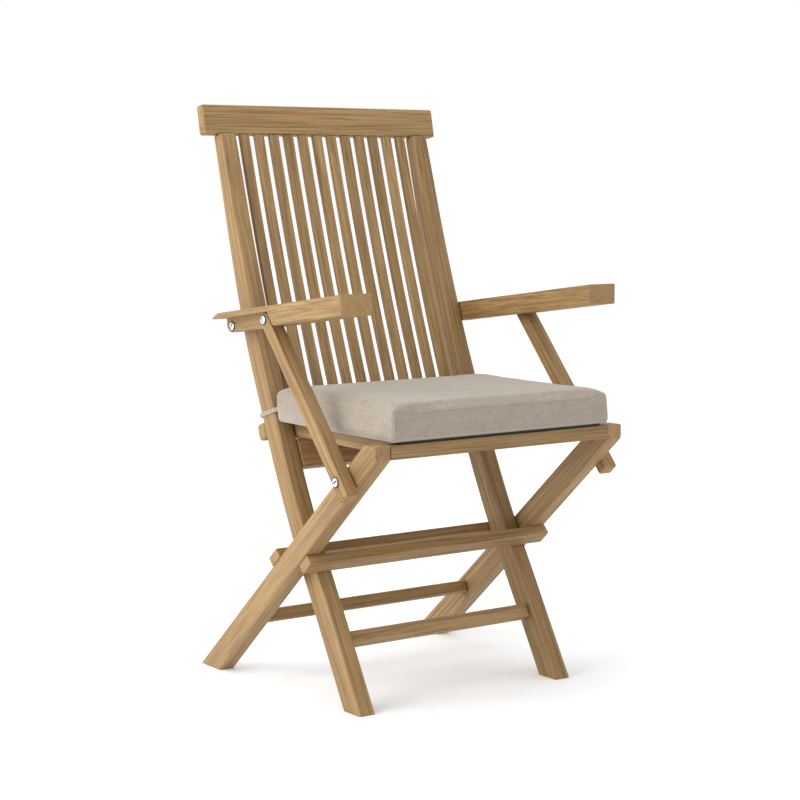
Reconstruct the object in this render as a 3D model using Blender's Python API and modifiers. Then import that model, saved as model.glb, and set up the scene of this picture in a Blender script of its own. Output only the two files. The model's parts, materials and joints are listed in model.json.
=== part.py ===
"""Folding slatted armchair in oiled teak with a loose box cushion.

Metres, +Z up, the sitter faces -Y, the floor is z = 0 and the origin is under
the middle of the bounding box. Side-view points are (y, z) pairs.
"""

import math

import bmesh
import bpy
import numpy as np

# ---- widths, as distances from the centre plane --------------------------
FIT = 0.0003  # gap left between two pieces that touch
STILE_INNER = 0.1910
STILE_THICK = 0.0322
SWING_GAP = 0.0016  # washer gap between stile and leg
LEG_THICK = 0.0298
ARM_WIDTH = 0.0602
SUPPORT_THICK = 0.0262
TOP_RAIL_LENGTH = 0.4980
CROSS_RAIL_INSET = 0.0004

STILE_OUTER = STILE_INNER + STILE_THICK
LEG_INNER = STILE_OUTER + SWING_GAP
LEG_OUTER = LEG_INNER + LEG_THICK
ARM_OUTER = LEG_INNER + ARM_WIDTH
SUPPORT_INNER = LEG_OUTER + 0.0010
SUPPORT_OUTER = SUPPORT_INNER + SUPPORT_THICK

# ---- stiles: back posts that run down to the front feet ------------------
STILE_PATH = (
    (-0.1612, 0.0),
    (-0.0790, 0.1395),
    (-0.0023, 0.2697),
    (0.0498, 0.3720),
    (0.0880, 0.4576),
    (0.1468, 0.5952),
    (0.1862, 0.7068),
    (0.2574, 0.9430),
)
STILE_DEPTH = 0.0428
STILE_DEPTH_TOP = 0.0262
STILE_TAPER_FROM = 0.60
STILE_ARRIS = 0.0042
SAW_ALLOWANCE = 0.0150  # left below the floor, sawn off level after rounding

# ---- top rail, back slats and the rails between the stiles ---------------
TOP_RAIL_FOOT = (0.2650, 0.9480)  # middle of its underside
TOP_RAIL_HEIGHT = 0.0525
TOP_RAIL_THICK = 0.0205
TOP_RAIL_LEAN = math.radians(12.0)
TOP_RAIL_ARRIS = 0.0035
SLAT_COUNT = 12
SLAT_WIDTH = 0.0182
SLAT_PITCH = 0.03064
SLAT_THICK = 0.0098
SLAT_FRONT_TOP = (0.2576, 0.9430)
SLAT_FRONT_FOOT = (0.0874, 0.4259)
SLAT_ARRIS = 0.0014
SLAT_BOW = (0.2120, 0.0050, 0.0066)  # half span, and how far the top and the low end come forward
SLAT_BOW_MID = 0.7300
SLAT_HEEL = 0.4560  # below this the slat is thick enough to reach the base rail
BASE_RAIL_Z = 0.4400
BASE_RAIL_DEPTH = 0.0250
BASE_RAIL_HEIGHT = 0.0300
BASE_RAIL_LEAN = math.radians(18.0)
BASE_RAIL_ARRIS = 0.0070
SEAT_REST_TOP = (0.0520, 0.4309)  # upper front corner of the seat rest rail
SEAT_REST_HEIGHT = 0.0520
SEAT_REST_THICK = 0.0220
SEAT_REST_LEAN = math.radians(24.0)
FRONT_STRETCHER_MID = (-0.1002, 0.1068)
FRONT_STRETCHER_HEIGHT = 0.0255
FRONT_STRETCHER_THICK = 0.0200
FRONT_STRETCHER_LEAN = math.radians(30.5)

# ---- legs: from the seat front down to the rear feet ---------------------
LEG_OUTLINE = (
    (0.2806, 0.0),
    (-0.2441, 0.4562),
    (-0.2776, 0.4562),
    (-0.2776, 0.4319),
    (0.2138, 0.0),
)
LEG_ARRIS = 0.0028
CROSS_RAIL_WIDE = 0.0314
CROSS_RAIL_THIN = 0.0186
REAR_CROSS_ALONG = 0.3448  # from the rear foot, up the leg's upper edge
FRONT_CROSS_ALONG = 0.3690  # from the rear foot, up the leg's lower edge
CROSS_RAIL_ARRIS = 0.0024
REAR_STRETCHER_MID = (0.1235, 0.1095)
REAR_STRETCHER_HEIGHT = 0.0225
REAR_STRETCHER_THICK = 0.0185
REAR_STRETCHER_LEAN = math.radians(22.0)

# ---- pivots --------------------------------------------------------------
FOLD_AXIS = (-0.0205, 0.2385)
SEAT_AXIS = (-0.2662, 0.4448)
ARM_AXIS = (0.1572, 0.6185)
SUPPORT_AXIS = (0.0093, 0.6389)
LOWER_AXIS = (-0.2065, 0.3943)
PIN_RADIUS = 0.0050
SEAT_PIN_RADIUS = 0.0040
PIN_BITE = 0.0200
BOLT_SHANK = 0.0040
BOLT_HEAD = 0.0089
BOLT_HEAD_RIM = 0.0016
BOLT_HEAD_DOME = 0.0010
BOLT_SLOT_WIDTH = 0.0018
BOLT_SLOT_DEPTH = 0.0012

# ---- seat ----------------------------------------------------------------
SEAT_TOP = 0.4562
SEAT_FRONT = -0.2776
FRONT_RAIL_DEPTH = 0.0228
FRONT_RAIL_HEIGHT = 0.0228
SIDE_RAIL_WIDTH = 0.0260
SIDE_RAIL_HEIGHT = 0.0247
SIDE_RAIL_CLEAR = 0.0022
SEAT_BACK = 0.0690
SEAT_SLAT_COUNT = 10
SEAT_SLAT_WIDTH = 0.0245
SEAT_SLAT_THICK = 0.0095
BATTEN_DEPTH = 0.0280
BATTEN_HEIGHT = 0.0110
MID_BATTEN_Y = -0.0850

# ---- armrests and their supports -----------------------------------------
ARM_FRONT = -0.2251
ARM_TOP_FRONT = 0.6924
ARM_SLOPE = 0.1304
ARM_HEIGHT = 0.0349
ARM_PLATE = 0.0100
ARM_TOP_REAR = 0.1600
ARM_TIP = (0.1742, 0.6310)
WEB_REAR = 0.1762
WEB_ROUND = 0.0155
SHOULDER_GAP = 0.0208  # from the support's axis line to the shoulder
ARM_ARRIS = 0.0020
ARM_OUTER_ROUND = 0.0058  # along the outer edges of the armrest
SUPPORT_WIDTH = 0.0244
SUPPORT_TAIL = 0.0335
SUPPORT_ARRIS = 0.0036

# ---- cushion -------------------------------------------------------------
CUSHION_HALF_WIDTH = 0.2215
CUSHION_FRONT = -0.2827
CUSHION_REAR = 0.0640
CUSHION_GAP = 0.0006
CUSHION_HEIGHT = 0.0540
CUSHION_ROUND = 0.0130
TIE_WIDTH = 0.0080
TIE_THICK = 0.0016
TIE_CLEAR = 0.0008
TIE_Z = 0.4720
TIE_LEAN = math.radians(17.0)

TEAK = (0.52, 0.33, 0.17, 1.0)
STEEL = (0.72, 0.72, 0.70, 1.0)
LINEN = (0.55, 0.52, 0.47, 1.0)


def clear_scene():
    """Removes every object that is already there."""
    for obj in list(bpy.data.objects):
        bpy.data.objects.remove(obj, do_unlink=True)


def make_collection(name):
    group = bpy.data.collections.new(name)
    bpy.context.scene.collection.children.link(group)
    return group


def give_material(obj, colour, roughness, metallic=0.0):
    material = bpy.data.materials.new(obj.name + "_finish")
    material.use_nodes = True
    shader = material.node_tree.nodes["Principled BSDF"]
    shader.inputs["Base Color"].default_value = colour
    shader.inputs["Roughness"].default_value = roughness
    shader.inputs["Metallic"].default_value = metallic
    obj.data.materials.clear()
    obj.data.materials.append(material)


def add_bevel(obj, width, segments=3):
    bevel = obj.modifiers.new("arris", "BEVEL")
    bevel.width = width
    bevel.segments = segments
    bevel.limit_method = "ANGLE"
    bevel.angle_limit = math.radians(35)


def cut_with(obj, cutter):
    cut = obj.modifiers.new("cut_" + cutter.name, "BOOLEAN")
    cut.operation = "DIFFERENCE"
    cut.solver = "EXACT"
    cut.object = cutter


def put_in(obj, group):
    for other in list(obj.users_collection):
        other.objects.unlink(obj)
    group.objects.link(obj)


def unit(vector):
    vector = np.asarray(vector, dtype=float)
    return vector / np.linalg.norm(vector)


def clip(outline, point, normal):
    """Keeps the part of a side-view outline that lies behind a line."""
    kept = []
    point = np.asarray(point)
    normal = np.asarray(normal)
    count = len(outline)
    for i in range(count):
        here = np.asarray(outline[i])
        after = np.asarray(outline[(i + 1) % count])
        a = float((here - point) @ normal)
        b = float((after - point) @ normal)
        if a <= 0:
            kept.append(tuple(here))
        if (a < 0 < b) or (b < 0 < a):
            kept.append(tuple(here + (after - here) * (a / (a - b))))
    return kept


def arc(centre, radius, start, end, steps):
    """Side-view points on an arc, angles in degrees from +Y towards +Z."""
    angles = np.radians(np.linspace(start, end, steps))
    return [(centre[0] + radius * math.cos(t), centre[1] + radius * math.sin(t)) for t in angles]


def solid_from_outline(name, outline, thickness, group):
    """Extrudes a flat closed curve through its thickness and makes it a mesh."""
    curve = bpy.data.curves.new(name + "_outline", "CURVE")
    curve.dimensions = "2D"
    curve.fill_mode = "BOTH"
    curve.extrude = thickness / 2
    spline = curve.splines.new("POLY")
    spline.points.add(len(outline) - 1)
    for point, (u, v) in zip(spline.points, outline):
        point.co = (u, v, 0.0, 1.0)
    spline.use_cyclic_u = True
    drawn = bpy.data.objects.new(name + "_outline", curve)
    group.objects.link(drawn)
    bpy.context.view_layer.update()
    mesh = bpy.data.meshes.new_from_object(drawn)
    bpy.data.objects.remove(drawn, do_unlink=True)
    bpy.data.curves.remove(curve)
    work = bmesh.new()
    work.from_mesh(mesh)
    bmesh.ops.remove_doubles(work, verts=work.verts, dist=0.00001)
    bmesh.ops.dissolve_limit(
        work, angle_limit=math.radians(0.05), verts=work.verts, edges=work.edges
    )
    bmesh.ops.recalc_face_normals(work, faces=work.faces)
    work.to_mesh(mesh)
    work.free()
    mesh.name = name
    obj = bpy.data.objects.new(name, mesh)
    group.objects.link(obj)
    return obj


def side_solid(name, outline, x_mid, thickness, group):
    """A solid with a side-view outline, extruded across the chair."""
    obj = solid_from_outline(name, outline, thickness, group)
    for vertex in obj.data.vertices:
        y, z, x = vertex.co
        vertex.co = (x + x_mid, y, z)
    return obj


def board(name, size, middle, lean, group):
    """A squared board; lean tips its top towards the back."""
    bpy.ops.mesh.primitive_cube_add(size=1.0)
    obj = bpy.context.object
    obj.name = name
    obj.data.name = name
    obj.scale = size
    bpy.ops.object.transform_apply(location=False, rotation=False, scale=True)
    obj.rotation_euler = (-lean, 0.0, 0.0)
    obj.location = middle
    bpy.ops.object.transform_apply(location=True, rotation=True, scale=False)
    put_in(obj, group)
    return obj


def turned(name, profile, axis, x_start, outward, group, steps=40):
    """Turns (distance along, radius) points about an axis that runs along X."""
    mesh = bpy.data.meshes.new(name)
    points = [(along, radius, 0.0) for along, radius in reversed(profile)]
    edges = [(i, i + 1) for i in range(len(points) - 1)]
    mesh.from_pydata(points, edges, [])
    obj = bpy.data.objects.new(name, mesh)
    group.objects.link(obj)
    screw = obj.modifiers.new("turn", "SCREW")
    screw.axis = "X"
    screw.angle = math.tau
    screw.steps = steps
    screw.render_steps = steps
    screw.use_merge_vertices = True
    screw.merge_threshold = 0.00001
    screw.use_smooth_shade = True
    obj.location = (x_start, axis[0], axis[1])
    if outward < 0:
        obj.rotation_euler = (0.0, 0.0, math.pi)
    return obj


def bore(name, axis, x_from, x_to, radius, cutters):
    """A cutter for a round hole along X."""
    low = min(x_from, x_to)
    profile = ((0.0, 0.0), (0.0, radius), (abs(x_to - x_from), radius), (abs(x_to - x_from), 0.0))
    cutter = turned(name, profile, axis, low, 1, cutters, steps=32)
    cutter.display_type = "WIRE"
    return cutter


class Chair:
    """Holds the two collections and builds the chair piece by piece."""

    def __init__(self):
        self.parts = make_collection("folding_armchair")
        self.cutters = make_collection("cutters")
        self.cutters.hide_render = True

    def finish_wood(self, obj):
        give_material(obj, TEAK, 0.55)
        return obj

    def stile_line(self, heights):
        """Depth positions of the stile's middle line at these heights."""
        path = np.array(STILE_PATH)
        slopes = np.gradient(path[:, 0], path[:, 1])
        found = []
        for z in heights:
            i = int(np.clip(np.searchsorted(path[:, 1], z) - 1, 0, len(path) - 2))
            span = path[i + 1, 1] - path[i, 1]
            t = (z - path[i, 1]) / span
            if t < 0 or t > 1:
                end = 0 if t < 0 else len(path) - 1
                found.append(path[end, 0] + slopes[end] * (z - path[end, 1]))
                continue
            h00 = 2 * t**3 - 3 * t**2 + 1
            h10 = t**3 - 2 * t**2 + t
            h01 = -2 * t**3 + 3 * t**2
            h11 = t**3 - t**2
            y = h00 * path[i, 0] + h10 * span * slopes[i]
            y += h01 * path[i + 1, 0] + h11 * span * slopes[i + 1]
            found.append(y)
        return np.array(found)

    def stile_edges(self):
        """Front and back edges of the stile in side view, from foot to top."""
        heights = np.linspace(-0.04, STILE_PATH[-1][1] + 0.03, 46)
        depths = self.stile_line(heights)
        slopes = np.gradient(depths, heights)
        across = np.stack([np.ones_like(slopes), -slopes], axis=1)
        across /= np.linalg.norm(across, axis=1)[:, None]
        top = STILE_PATH[-1][1]
        width = np.interp(heights, [STILE_TAPER_FROM, top], [STILE_DEPTH, STILE_DEPTH_TOP])
        middle = np.stack([depths, heights], axis=1)
        half = across * width[:, None] / 2
        return middle - half, middle + half

    def rail_underside(self, gap):
        """A point and the downward cut direction of the top rail's underside."""
        up = np.array([math.sin(TOP_RAIL_LEAN), math.cos(TOP_RAIL_LEAN)])
        return np.array(TOP_RAIL_FOOT) - up * gap, up

    def stile(self, side, name):
        front, back = self.stile_edges()
        outline = [tuple(p) for p in front] + [tuple(p) for p in back[::-1]]
        outline = clip(outline, (0.0, -SAW_ALLOWANCE), (0.0, -1.0))
        outline = clip(outline, *self.rail_underside(FIT))
        x_mid = side * (STILE_INNER + STILE_THICK / 2)
        obj = side_solid(name, outline, x_mid, STILE_THICK, self.parts)
        add_bevel(obj, STILE_ARRIS, 3)
        self.saw_level(obj, x_mid, STILE_PATH[0][0])
        inside = side * (STILE_OUTER - PIN_BITE - 0.0010)
        edge = side * (STILE_OUTER + 0.0010)
        pin = bore(name + "_pivot_hole", FOLD_AXIS, inside, edge, PIN_RADIUS + FIT, self.cutters)
        cut_with(obj, pin)
        deep = side * (STILE_OUTER - PIN_BITE - 0.0010)
        hole = bore(name + "_bolt_hole", ARM_AXIS, deep, edge, BOLT_SHANK + FIT, self.cutters)
        cut_with(obj, hole)
        return self.finish_wood(obj)

    def saw_level(self, obj, x_mid, y_mid):
        """Saws a foot off at the floor, which leaves its lower edges sharp."""
        size = (0.2, 0.3, 0.1)
        saw = board(obj.name + "_saw", size, (x_mid, y_mid, -size[2] / 2), 0.0, self.cutters)
        saw.display_type = "WIRE"
        cut_with(obj, saw)

    def top_rail(self):
        up = np.array([math.sin(TOP_RAIL_LEAN), math.cos(TOP_RAIL_LEAN)])
        middle = np.array(TOP_RAIL_FOOT) + up * TOP_RAIL_HEIGHT / 2
        size = (TOP_RAIL_LENGTH, TOP_RAIL_THICK, TOP_RAIL_HEIGHT)
        obj = board("top_rail", size, (0.0, *middle), TOP_RAIL_LEAN, self.parts)
        add_bevel(obj, TOP_RAIL_ARRIS, 3)
        return self.finish_wood(obj)

    def slat_outline(self):
        """Side view of a slat: bowed, with a heel that meets the base rail."""
        foot = np.array(SLAT_FRONT_FOOT)
        head = np.array(SLAT_FRONT_TOP)
        along = unit(head - foot)
        back = np.array([along[1], -along[0]]) * SLAT_THICK
        half, top_bow, low_bow = SLAT_BOW
        front, rear = [], []
        for z in np.linspace(foot[1], head[1] + 0.02, 24):
            straight = foot[0] + (z - foot[1]) * along[0] / along[1]
            share = (z - SLAT_BOW_MID) / half
            if share < -1.0:
                bow = low_bow
            else:
                bow = share**2 * (top_bow if share > 0 else low_bow)
            front.append((straight - bow, z))
            forward = 0.0 if z < SLAT_HEEL else bow
            rear.append((straight + back[0] - forward, z + back[1]))
        return clip(front + rear[::-1], *self.rail_underside(FIT))

    def back_slats(self):
        outline = self.slat_outline()
        for i in range(SLAT_COUNT):
            x_mid = (i - (SLAT_COUNT - 1) / 2) * SLAT_PITCH
            name = f"back_slat_{i + 1:02d}"
            obj = side_solid(name, outline, x_mid, SLAT_WIDTH, self.parts)
            add_bevel(obj, SLAT_ARRIS, 2)
            self.finish_wood(obj)

    def back_at(self, z):
        """Depth of the stile's back edge at this height."""
        back = self.stile_edges()[1]
        return float(np.interp(z, back[:, 1], back[:, 0]))

    def base_rail(self):
        slat_foot = np.array(SLAT_FRONT_FOOT)
        along = unit(np.array(SLAT_FRONT_TOP) - slat_foot)
        back = np.array([along[1], -along[0]])
        half = BASE_RAIL_HEIGHT / 2
        lean = np.array([math.sin(BASE_RAIL_LEAN), math.cos(BASE_RAIL_LEAN)])
        face = np.array([lean[1], -lean[0]])
        limits = []
        for z in (BASE_RAIL_Z - half, BASE_RAIL_Z, BASE_RAIL_Z + half):
            slat_y = slat_foot[0] + (z - slat_foot[1]) * along[0] / along[1] + SLAT_THICK / back[0]
            start = max(slat_y, self.back_at(z))
            limits.append(start - (z - BASE_RAIL_Z) * lean[0] / lean[1])
        front = np.array([max(limits) + 0.0006, BASE_RAIL_Z])
        middle = front + face * BASE_RAIL_DEPTH / 2
        size = (2 * STILE_OUTER - 0.0010, BASE_RAIL_DEPTH, BASE_RAIL_HEIGHT)
        obj = board("back_base_rail", size, (0.0, *middle), BASE_RAIL_LEAN, self.parts)
        add_bevel(obj, BASE_RAIL_ARRIS, 4)
        return self.finish_wood(obj)

    def between_stiles(self, name, middle, height, thick, lean, arris):
        size = (2 * (STILE_INNER - FIT), thick, height)
        obj = board(name, size, (0.0, *middle), lean, self.parts)
        add_bevel(obj, arris, 3)
        return self.finish_wood(obj)

    def seat_rest_rail(self):
        lean = np.array([math.sin(SEAT_REST_LEAN), math.cos(SEAT_REST_LEAN)])
        face = np.array([lean[1], -lean[0]])
        middle = np.array(SEAT_REST_TOP) - lean * SEAT_REST_HEIGHT / 2 + face * SEAT_REST_THICK / 2
        return self.between_stiles(
            "seat_rest_rail", middle, SEAT_REST_HEIGHT, SEAT_REST_THICK, SEAT_REST_LEAN, 0.0030
        )

    def leg_outline(self):
        """The leg's side view with its foot carried on below the floor."""
        upper = unit(np.array(LEG_OUTLINE[1]) - np.array(LEG_OUTLINE[0]))
        lower = unit(np.array(LEG_OUTLINE[3]) - np.array(LEG_OUTLINE[4]))
        first = np.array(LEG_OUTLINE[0]) - upper * SAW_ALLOWANCE / upper[1]
        last = np.array(LEG_OUTLINE[4]) - lower * SAW_ALLOWANCE / lower[1]
        return [tuple(first), *LEG_OUTLINE[1:4], tuple(last)]

    def leg(self, side, name):
        x_mid = side * (LEG_INNER + LEG_THICK / 2)
        obj = side_solid(name, self.leg_outline(), x_mid, LEG_THICK, self.parts)
        add_bevel(obj, LEG_ARRIS, 3)
        self.saw_level(obj, x_mid, LEG_OUTLINE[0][0])
        edge = side * (LEG_INNER - 0.0010)
        deep = side * (LEG_INNER + PIN_BITE + 0.0010)
        pin = bore(name + "_pivot_hole", FOLD_AXIS, edge, deep, PIN_RADIUS + FIT, self.cutters)
        cut_with(obj, pin)
        seat = bore(name + "_seat_hole", SEAT_AXIS, edge, deep, SEAT_PIN_RADIUS + FIT, self.cutters)
        cut_with(obj, seat)
        return self.finish_wood(obj)

    def cross_rail(self, name, foot, along_leg, distance, outward):
        """A rail laid flat on an edge of the two legs, ends flush outside."""
        normal = np.array([-along_leg[1], along_leg[0]]) * outward
        middle = np.array(foot) + along_leg * distance
        middle = middle + normal * (CROSS_RAIL_THIN / 2 + FIT)
        lean = math.atan2(along_leg[0], along_leg[1])
        size = (2 * (LEG_OUTER - CROSS_RAIL_INSET), CROSS_RAIL_THIN, CROSS_RAIL_WIDE)
        obj = board(name, size, (0.0, *middle), lean, self.parts)
        add_bevel(obj, CROSS_RAIL_ARRIS, 3)
        return self.finish_wood(obj)

    def cross_rails(self):
        upper = unit(np.array(LEG_OUTLINE[1]) - np.array(LEG_OUTLINE[0]))
        lower = unit(np.array(LEG_OUTLINE[3]) - np.array(LEG_OUTLINE[4]))
        self.cross_rail("rear_cross_rail", LEG_OUTLINE[0], upper, REAR_CROSS_ALONG, -1)
        self.cross_rail("front_cross_rail", LEG_OUTLINE[4], lower, FRONT_CROSS_ALONG, 1)

    def rear_stretcher(self):
        size = (2 * (LEG_INNER - FIT), REAR_STRETCHER_THICK, REAR_STRETCHER_HEIGHT)
        obj = board(
            "rear_stretcher", size, (0.0, *REAR_STRETCHER_MID), REAR_STRETCHER_LEAN, self.parts
        )
        add_bevel(obj, 0.0042, 3)
        return self.finish_wood(obj)

    def front_seat_rail(self):
        length = 2 * (LEG_INNER - 0.0004)
        size = (length, FRONT_RAIL_DEPTH, FRONT_RAIL_HEIGHT)
        y_mid = SEAT_FRONT + FRONT_RAIL_DEPTH / 2
        z_mid = SEAT_TOP - FRONT_RAIL_HEIGHT / 2
        obj = board("front_seat_rail", size, (0.0, y_mid, z_mid), 0.0, self.parts)
        add_bevel(obj, 0.0016, 2)
        for side in (-1, 1):
            edge = side * (LEG_INNER + 0.0010)
            deep = side * (LEG_INNER - PIN_BITE - 0.0010)
            hole = bore(
                f"seat_rail_hole_{side + 1}", SEAT_AXIS, edge, deep, SEAT_PIN_RADIUS + FIT,
                self.cutters,
            )
            cut_with(obj, hole)
        return self.finish_wood(obj)

    def seat_side_rail(self, side, name):
        y_front = SEAT_FRONT + FRONT_RAIL_DEPTH + FIT
        length = SEAT_BACK - y_front
        x_mid = side * (STILE_INNER - SIDE_RAIL_CLEAR - SIDE_RAIL_WIDTH / 2)
        size = (SIDE_RAIL_WIDTH, length, SIDE_RAIL_HEIGHT)
        middle = (x_mid, y_front + length / 2, SEAT_TOP - SIDE_RAIL_HEIGHT / 2)
        obj = board(name, size, middle, 0.0, self.parts)
        add_bevel(obj, 0.0024, 2)
        return self.finish_wood(obj)

    def seat_inside(self):
        """Half of the clear width between the two side rails."""
        return STILE_INNER - SIDE_RAIL_CLEAR - SIDE_RAIL_WIDTH

    def seat_battens(self):
        y_front = SEAT_FRONT + FRONT_RAIL_DEPTH + FIT + BATTEN_DEPTH / 2
        y_rear = SEAT_BACK - BATTEN_DEPTH / 2
        z_mid = SEAT_TOP - SEAT_SLAT_THICK - FIT - BATTEN_HEIGHT / 2
        size = (2 * (self.seat_inside() - FIT), BATTEN_DEPTH, BATTEN_HEIGHT)
        places = (("front", y_front), ("middle", MID_BATTEN_Y), ("rear", y_rear))
        for name, y_mid in places:
            obj = board(f"seat_batten_{name}", size, (0.0, y_mid, z_mid), 0.0, self.parts)
            add_bevel(obj, 0.0015, 2)
            self.finish_wood(obj)

    def seat_slats(self):
        y_front = SEAT_FRONT + FRONT_RAIL_DEPTH + FIT
        length = SEAT_BACK - y_front
        room = 2 * self.seat_inside()
        gap = (room - SEAT_SLAT_COUNT * SEAT_SLAT_WIDTH) / (SEAT_SLAT_COUNT + 1)
        for i in range(SEAT_SLAT_COUNT):
            x_mid = -room / 2 + gap + SEAT_SLAT_WIDTH / 2 + i * (SEAT_SLAT_WIDTH + gap)
            middle = (x_mid, y_front + length / 2, SEAT_TOP - SEAT_SLAT_THICK / 2)
            size = (SEAT_SLAT_WIDTH, length, SEAT_SLAT_THICK)
            obj = board(f"seat_slat_{i + 1:02d}", size, middle, 0.0, self.parts)
            add_bevel(obj, 0.0015, 2)
            self.finish_wood(obj)

    def arm_top(self, y):
        return ARM_TOP_FRONT - ARM_SLOPE * (y - ARM_FRONT)

    def arm_outline(self):
        """Side view of the whole armrest: block, web and top plate in one."""
        def under(y):
            return self.arm_top(y) - ARM_HEIGHT

        centre = (WEB_REAR - WEB_ROUND, under(WEB_REAR - WEB_ROUND) + WEB_ROUND)
        plate_under = self.arm_top(WEB_REAR) - ARM_PLATE
        outline = [(ARM_FRONT, under(ARM_FRONT))]
        outline += arc(centre, WEB_ROUND, -97.0, 0.0, 8)
        outline.append((WEB_REAR, plate_under))
        outline.append(ARM_TIP)
        outline.append((ARM_TOP_REAR, self.arm_top(ARM_TOP_REAR)))
        outline.append((ARM_FRONT, self.arm_top(ARM_FRONT)))
        return outline

    def rebate_outline(self):
        """What is cut from the outer side, below the plate and behind the shoulder."""
        along = unit(np.array(LOWER_AXIS) - np.array(SUPPORT_AXIS))
        ahead = np.array([along[1], -along[0]])
        shoulder = np.array(SUPPORT_AXIS) + ahead * SHOULDER_GAP
        ceiling = self.arm_top(shoulder[0]) - ARM_PLATE
        top = shoulder - along * (ceiling - shoulder[1]) / -along[1]
        for _ in range(4):
            ceiling = self.arm_top(top[0]) - ARM_PLATE
            top = top + along * (ceiling - top[1]) / along[1]
        low = top + along * 0.08
        rear = ARM_TIP[0] + 0.02
        return [tuple(top), tuple(low), (rear, low[1]), (rear, self.arm_top(rear) - ARM_PLATE)]

    def round_outer_edges(self, obj, side):
        """Rounds the armrest's outer edges: its top, its front and its front underside."""
        work = bmesh.new()
        work.from_mesh(obj.data)
        rounded = []
        for edge in work.edges:
            ends = [v.co for v in edge.verts]
            outside = all(abs(v.x - side * ARM_OUTER) < 0.0001 for v in ends)
            long = (ends[0] - ends[1]).length > 0.02
            if outside and long:
                rounded.append(edge)
        bmesh.ops.bevel(
            work, geom=rounded, offset=ARM_OUTER_ROUND, segments=4, affect="EDGES", profile=0.5
        )
        work.to_mesh(obj.data)
        work.free()

    def armrest(self, side, name):
        x_mid = side * (LEG_INNER + ARM_WIDTH / 2)
        obj = side_solid(name, self.arm_outline(), x_mid, ARM_WIDTH, self.parts)
        self.round_outer_edges(obj, side)
        outer = ARM_OUTER + 0.005
        depth = outer - LEG_OUTER
        cutter = side_solid(
            name + "_rebate", self.rebate_outline(), side * (LEG_OUTER + depth / 2), depth,
            self.cutters,
        )
        cutter.display_type = "WIRE"
        cut_with(obj, cutter)
        add_bevel(obj, ARM_ARRIS, 3)
        through = (side * (LEG_INNER - 0.0010), side * (LEG_OUTER + 0.0010))
        hole = bore(name + "_rear_hole", ARM_AXIS, *through, BOLT_SHANK + FIT, self.cutters)
        cut_with(obj, hole)
        deep = side * (LEG_OUTER - PIN_BITE - 0.0010)
        blind = bore(
            name + "_front_hole", SUPPORT_AXIS, deep, through[1], BOLT_SHANK + FIT, self.cutters
        )
        cut_with(obj, blind)
        return self.finish_wood(obj)

    def support_outline(self):
        top = np.array(SUPPORT_AXIS)
        foot = np.array(LOWER_AXIS)
        along = unit(foot - top)
        heading = math.degrees(math.atan2(along[1], along[0]))
        radius = SUPPORT_WIDTH / 2
        end = foot + along * SUPPORT_TAIL
        across = np.array([-along[1], along[0]]) * radius
        outline = arc(SUPPORT_AXIS, radius, heading + 90, heading + 270, 15)
        outline.append(tuple(end - across))
        outline.append(tuple(end + across))
        return outline

    def arm_support(self, side, name):
        x_mid = side * (SUPPORT_INNER + SUPPORT_THICK / 2)
        obj = side_solid(name, self.support_outline(), x_mid, SUPPORT_THICK, self.parts)
        add_bevel(obj, SUPPORT_ARRIS, 3)
        through = (side * (SUPPORT_INNER - 0.0010), side * (SUPPORT_OUTER + 0.0010))
        top = bore(name + "_top_hole", SUPPORT_AXIS, *through, BOLT_SHANK + FIT, self.cutters)
        cut_with(obj, top)
        deep = side * (SUPPORT_INNER + 0.0020)
        low = bore(name + "_low_hole", LOWER_AXIS, deep, through[1], BOLT_SHANK + FIT, self.cutters)
        cut_with(obj, low)
        return self.finish_wood(obj)

    def bolt(self, name, axis, seat_x, length, side):
        """A domed slotted bolt: its head stands on the face at seat_x."""
        start = side * (seat_x - length)
        rim = length + FIT + BOLT_HEAD_RIM
        profile = [(0.0, 0.0), (0.0, BOLT_SHANK), (length + FIT, BOLT_SHANK)]
        profile += [(length + FIT, BOLT_HEAD - 0.0004), (length + FIT + 0.0004, BOLT_HEAD)]
        for step in range(0, 7):
            share = step / 6
            radius = BOLT_HEAD * math.cos(share * math.pi / 2)
            profile.append((rim + BOLT_HEAD_DOME * math.sin(share * math.pi / 2), radius))
        profile[-1] = (profile[-1][0], 0.0)
        obj = turned(name, profile, axis, start, side, self.parts)
        top = seat_x + FIT + BOLT_HEAD_RIM + BOLT_HEAD_DOME
        depth = BOLT_SLOT_DEPTH + 0.002
        x_mid = side * (top - BOLT_SLOT_DEPTH + depth / 2)
        size = (depth, 0.03, BOLT_SLOT_WIDTH)
        slot = board(name + "_slot", size, (x_mid, *axis), 0.0, self.cutters)
        slot.rotation_euler = (0.0, 0.0, 0.0)
        slot.display_type = "WIRE"
        cut_with(obj, slot)
        give_material(obj, STEEL, 0.28, 1.0)
        return obj

    def pin(self, name, axis, x_mid, radius, side):
        length = 2 * PIN_BITE + SWING_GAP
        profile = ((0.0, 0.0), (0.0, radius), (length, radius), (length, 0.0))
        start = side * (x_mid - length / 2)
        obj = turned(name, profile, axis, start, side, self.parts)
        give_material(obj, STEEL, 0.35, 1.0)
        return obj

    def cushion(self):
        low = SEAT_TOP + CUSHION_GAP
        size = (2 * CUSHION_HALF_WIDTH, CUSHION_REAR - CUSHION_FRONT, CUSHION_HEIGHT)
        middle = (0.0, (CUSHION_REAR + CUSHION_FRONT) / 2, low + CUSHION_HEIGHT / 2)
        obj = board("seat_cushion", size, middle, 0.0, self.parts)
        add_bevel(obj, CUSHION_ROUND, 5)
        give_material(obj, LINEN, 0.9)
        return obj

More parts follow.
